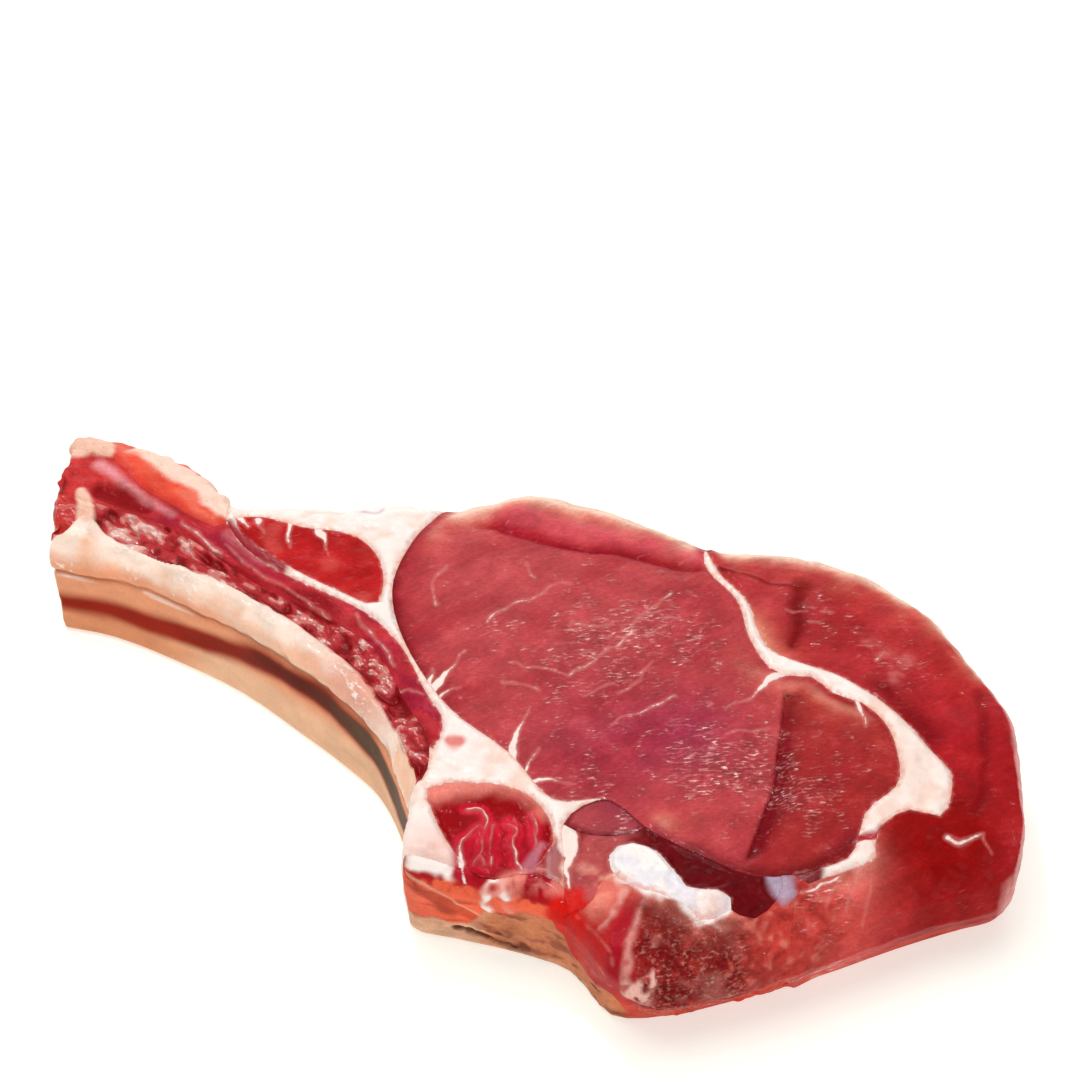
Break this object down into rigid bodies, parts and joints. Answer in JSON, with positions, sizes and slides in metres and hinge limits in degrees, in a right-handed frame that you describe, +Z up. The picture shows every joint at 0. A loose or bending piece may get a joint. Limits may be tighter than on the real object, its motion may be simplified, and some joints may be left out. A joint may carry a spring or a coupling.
{
  "type": "raw veal chop",
  "caption": "Raw veal rib chop lying on its cut face: a round eye of lean meat with a curved rib bone, fat seams and a chine bone end.",
  "frame": {"origin": "middle of the flat underside", "axes": "+Z up through the slab, +X from the rib's tip to the back, +Y towards the outer side of the animal"},
  "size_m": [0.1962, 0.1476, 0.0262],
  "materials": {
    "eye_muscle": "wet raw lean, rose red with fine marbling",
    "cap_muscle": "wet raw lean, deep red",
    "rib_bone": "bone under glossy peach membrane, with a red-brown band on its side",
    "intercostal_muscle": "wet ragged lean with pale shreds",
    "skirt_muscle": "wet thin lean, salmon, pale at its outer edge",
    "flap_muscle": "wet raw lean, purple red",
    "side_muscle": "wet raw lean, bright red",
    "button_muscle": "wet raw lean",
    "chine_muscle": "wet raw lean, crimson with pale sheets of sinew",
    "cartilage": "glossy white gristle",
    "deep_muscle": "wet raw lean, maroon",
    "chine_bone": "sawn spongy bone, dark red and granular, with a tan outer plate",
    "side_fat": "glossy raw fat, ivory",
    "cap_fat": "glossy raw fat, ivory"
  },
  "bodies": {
    "root": {"eye_muscle": "eye_muscle", "cap_muscle": "cap_muscle", "rib_bone": "rib_bone", "intercostal_muscle": "intercostal_muscle", "skirt_muscle": "skirt_muscle", "flap_muscle": "flap_muscle", "side_muscle": "side_muscle", "button_muscle": "button_muscle", "chine_muscle": "chine_muscle", "cartilage": "cartilage", "deep_muscle": "deep_muscle", "chine_bone": "chine_bone", "side_fat": "side_fat", "cap_fat": "cap_fat"}
  },
  "joints": []
}
